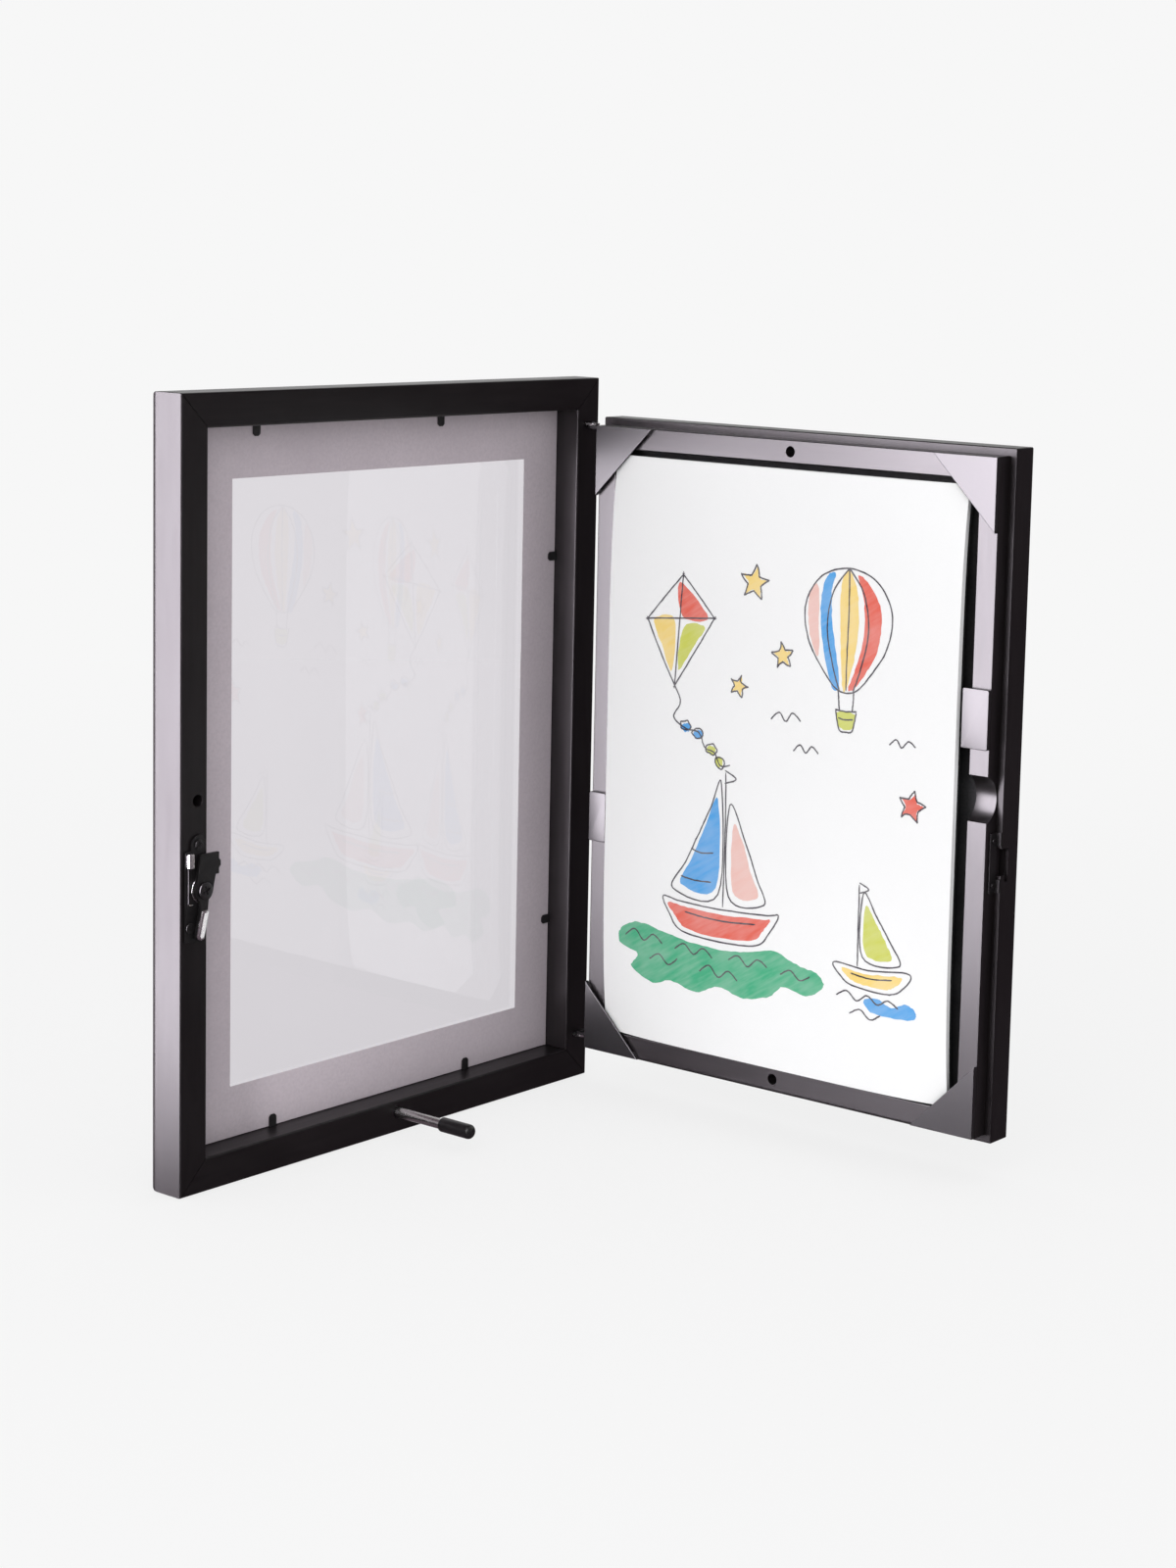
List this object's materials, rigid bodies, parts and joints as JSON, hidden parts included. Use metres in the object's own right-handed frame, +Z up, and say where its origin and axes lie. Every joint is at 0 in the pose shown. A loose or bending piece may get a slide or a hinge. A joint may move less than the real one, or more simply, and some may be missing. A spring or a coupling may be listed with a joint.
{
  "type": "front opening picture frame",
  "caption": "Picture frame with a hinged rear storage panel that holds a stack of drawings, a turn latch and a plug-in support peg.",
  "frame": {"origin": "middle of the bottom rail's lower face, at half the frame's depth", "axes": "+Z up, -Y out of the display side, +X towards the latch, -X towards the hinges; the storage panel is modelled open by 90.9 degrees"},
  "size_m": [0.2891, 0.2826, 0.368],
  "materials": {
    "frame_black": "satin black paint",
    "biscuit_wood": "raw",
    "glass_clear": "clear polished",
    "mat_card": "matt",
    "tab_steel": "blackened",
    "latch_black": "satin black",
    "bright_steel": "bright nickel",
    "tip_rubber": "matt",
    "pocket_plastic": "satin black",
    "black_card": "matt",
    "white_paper": "matt"
  },
  "bodies": {
    "front_frame": {"top_rail": "frame_black", "bottom_rail": "frame_black", "latch_stile": "frame_black", "hinge_stile": "frame_black", "corner_biscuit_1": "biscuit_wood", "corner_biscuit_2": "biscuit_wood", "corner_biscuit_3": "biscuit_wood", "corner_biscuit_4": "biscuit_wood", "glass_pane": "glass_clear", "mat_board": "mat_card", "retaining_tab_top_1": "tab_steel", "retaining_tab_top_2": "tab_steel", "retaining_tab_bottom_1": "tab_steel", "retaining_tab_bottom_2": "tab_steel", "retaining_tab_hinge_1": "tab_steel", "retaining_tab_hinge_2": "tab_steel", "retaining_tab_latch_1": "tab_steel", "retaining_tab_latch_2": "tab_steel", "latch_base_plate": "latch_black", "latch_washer": "bright_steel", "latch_spring_block": "bright_steel", "latch_spring": "bright_steel", "latch_pivot_screw": "latch_black", "latch_fixing_screw_1": "latch_black", "latch_fixing_screw_2": "latch_black", "hinge_plate_top": "bright_steel", "hinge_plate_bottom": "bright_steel", "hinge_pin_top": "bright_steel", "hinge_pin_bottom": "bright_steel"},
    "storage_panel": {"back_board": "frame_black", "hinge_arm_top": "latch_black", "hinge_arm_bottom": "latch_black", "tray_rail_top": "frame_black", "tray_rail_bottom": "frame_black", "tray_rail_latch_side": "frame_black", "tray_rail_hinge_side": "frame_black", "strike_plate": "latch_black", "strike_screw_1": "latch_black", "strike_screw_2": "latch_black", "corner_pocket_upper_hinge": "pocket_plastic", "corner_pocket_upper_latch": "pocket_plastic", "corner_pocket_lower_hinge": "pocket_plastic", "corner_pocket_lower_latch": "pocket_plastic", "side_tab_latch": "pocket_plastic", "side_tab_hinge": "pocket_plastic", "tray_liner": "black_card", "front_sheet": "white_paper", "paper_stack": "white_paper", "pressure_card": "black_card", "bow_spring_upper": "bright_steel", "bow_spring_lower": "bright_steel"},
    "latch": {"latch_lever": "latch_black", "latch_thumb_pad": "bright_steel"},
    "peg": {"peg_rod": "bright_steel", "peg_tip": "tip_rubber"}
  },
  "joints": [
    {"name": "panel_hinge", "type": "hinge", "parent": "front_frame", "child": "storage_panel", "pos_m": [-0.13405, 0.0145, 0], "axis": [0, 0, 1], "range_deg": [-90.9, 84.1]},
    {"name": "latch_turn", "type": "hinge", "parent": "front_frame", "child": "latch", "pos_m": [0.13065, 0.0138, 0.1432], "axis": [0, -1, 0], "range_deg": [0, 15]},
    {"name": "peg_pull", "type": "slide", "parent": "front_frame", "child": "peg", "axis": [0, 1, 0], "range_m": [0, 0.0135]}
  ]
}
